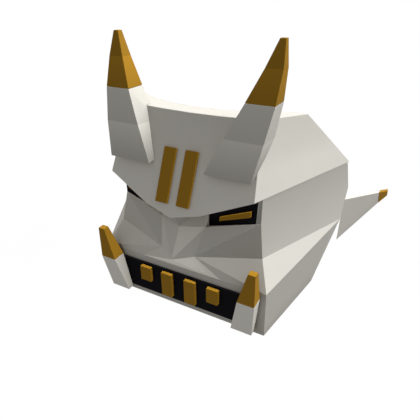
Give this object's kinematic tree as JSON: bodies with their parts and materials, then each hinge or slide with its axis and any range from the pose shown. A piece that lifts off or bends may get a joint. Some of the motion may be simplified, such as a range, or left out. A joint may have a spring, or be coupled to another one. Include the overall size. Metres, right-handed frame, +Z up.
{
  "type": "oni mask",
  "caption": "Faceted oni mask, open at the back, with a heavy brow plate, gold-tipped horns and tusks, narrow barred eyes, a toothed mouth band and swept cheek fins.",
  "frame": {"origin": "middle of the bounding box, at the level of the plane that the mask rests on", "axes": "+X toward the wearer's left, -Y out of the front of the face, +Z up from the resting plane; the face leans back 20.8 degrees from upright"},
  "size_m": [0.3144, 0.2188, 0.2186],
  "materials": {
    "white_shell": "warm white, low sheen, with crisp facet edges",
    "gold_trim": "ochre gold colour, low sheen, not metallic",
    "black_panel": "near-black, matt"
  },
  "bodies": {
    "root": {"face_shell": "white_shell", "brow_plate": "white_shell", "horn_left": "white_shell", "horn_right": "white_shell", "horn_tip_left": "gold_trim", "horn_tip_right": "gold_trim", "tusk_left": "white_shell", "tusk_right": "white_shell", "tusk_tip_left": "gold_trim", "tusk_tip_right": "gold_trim", "eye_panel_left": "black_panel", "eye_panel_right": "black_panel", "eye_bar_left": "gold_trim", "eye_bar_right": "gold_trim", "mouth_band": "black_panel", "tooth_inner_left": "gold_trim", "tooth_inner_right": "gold_trim", "tooth_outer_left": "gold_trim", "tooth_outer_right": "gold_trim", "forehead_bar_left": "gold_trim", "forehead_bar_right": "gold_trim", "fin_left": "white_shell", "fin_right": "white_shell", "fin_tip_left": "gold_trim", "fin_tip_right": "gold_trim"}
  },
  "joints": []
}
